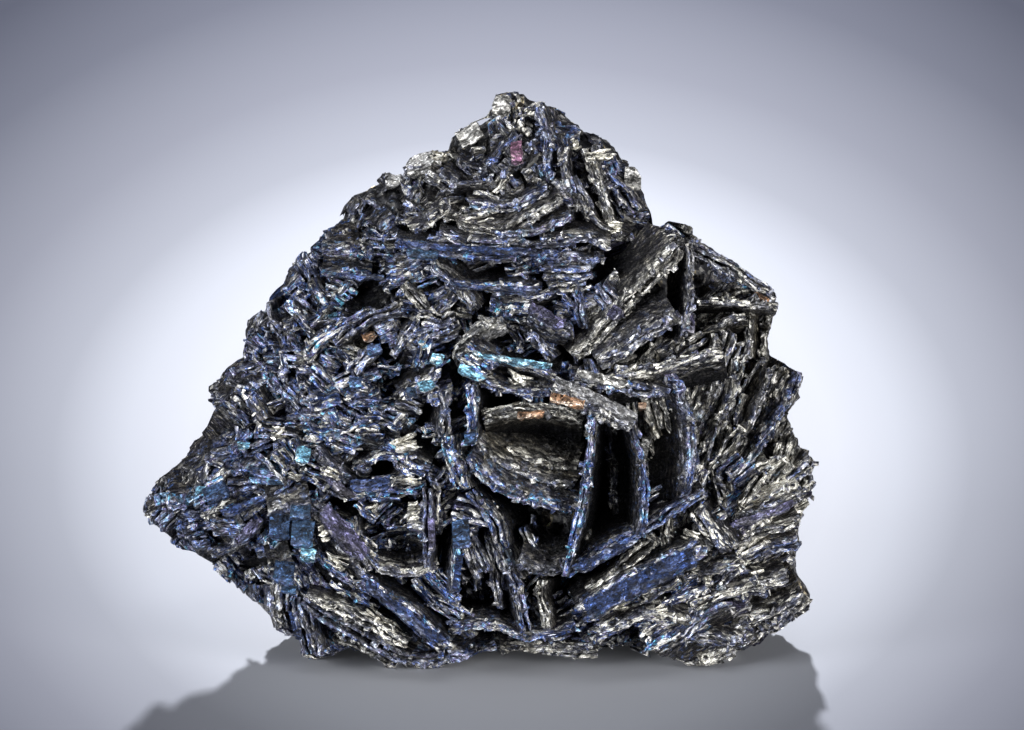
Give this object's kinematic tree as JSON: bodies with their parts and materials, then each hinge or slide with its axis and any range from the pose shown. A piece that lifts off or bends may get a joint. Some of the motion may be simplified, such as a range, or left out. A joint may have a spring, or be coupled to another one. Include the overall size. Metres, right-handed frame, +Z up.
{
  "type": "covellite crystal cluster",
  "caption": "Freestanding cluster of thin dark mineral blades grown through one another in an open boxwork, with blue and violet edges, resting on a flat broken foot",
  "frame": {"origin": "centre of the flat foot's level, at the middle of the overall width and depth", "axes": "+X to the right of the crystal face, -Y towards the viewer of that face, +Z up"},
  "size_m": [0.0684, 0.039, 0.0573],
  "materials": {
    "covellite": "submetallic indigo-black blades with a blue and violet tarnish on their edges"
  },
  "bodies": {
    "root": {"covellite_cluster": "covellite"}
  },
  "joints": []
}
